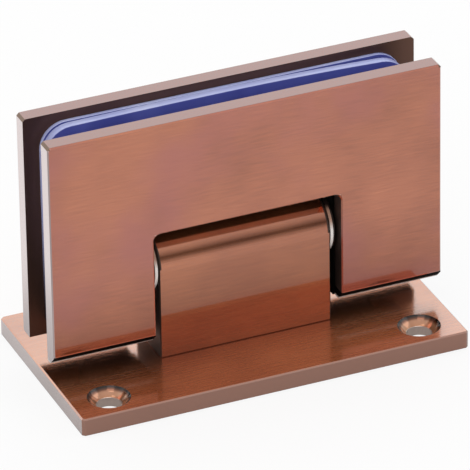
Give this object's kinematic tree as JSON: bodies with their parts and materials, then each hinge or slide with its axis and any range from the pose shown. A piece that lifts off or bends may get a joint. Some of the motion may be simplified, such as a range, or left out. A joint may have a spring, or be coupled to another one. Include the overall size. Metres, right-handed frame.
{
  "type": "glass door hinge",
  "caption": "Wall-to-glass door hinge: a notched two-plate glass clamp swings on a pin through an upright block on a screw-down wall plate.",
  "frame": {"origin": "centre of the wall plate's mounting face", "axes": "+X along the pivot axis, -Y towards the plain cover plate (front), +Z away from the wall"},
  "size_m": [0.0906, 0.048, 0.0619],
  "materials": {
    "bronze": "brushed antique copper, semi-gloss",
    "bronze_screw": "turned, antique copper plated",
    "steel": "turned and ground",
    "nylon": "smooth natural nylon",
    "acetal": "smooth natural acetal",
    "gasket": "clear soft plastic sheet with blue edges"
  },
  "bodies": {
    "wall_side": {"wall_plate": "bronze", "pivot_block": "bronze", "block_screw_left": "steel", "block_screw_right": "steel", "bushing_left": "acetal", "bushing_right": "acetal", "detent_plunger": "steel", "detent_spring_left": "steel", "detent_spring_right": "steel"},
    "glass_clamp": {"front_clamp_plate": "bronze", "back_clamp_plate": "bronze", "clamp_screw_left": "bronze_screw", "clamp_screw_right": "bronze_screw", "pin_grub_screw_left": "steel", "pin_grub_screw_right": "steel", "pivot_pin": "steel", "thrust_washer_left": "nylon", "thrust_washer_right": "nylon", "gasket_rear_thin": "gasket", "gasket_rear_thick": "gasket", "gasket_front": "gasket"}
  },
  "joints": [
    {"name": "clamp_swing", "type": "hinge", "parent": "wall_side", "child": "glass_clamp", "pos_m": [0, 0, 0.025], "axis": [1, 0, 0], "range_deg": [-90, 90]}
  ]
}
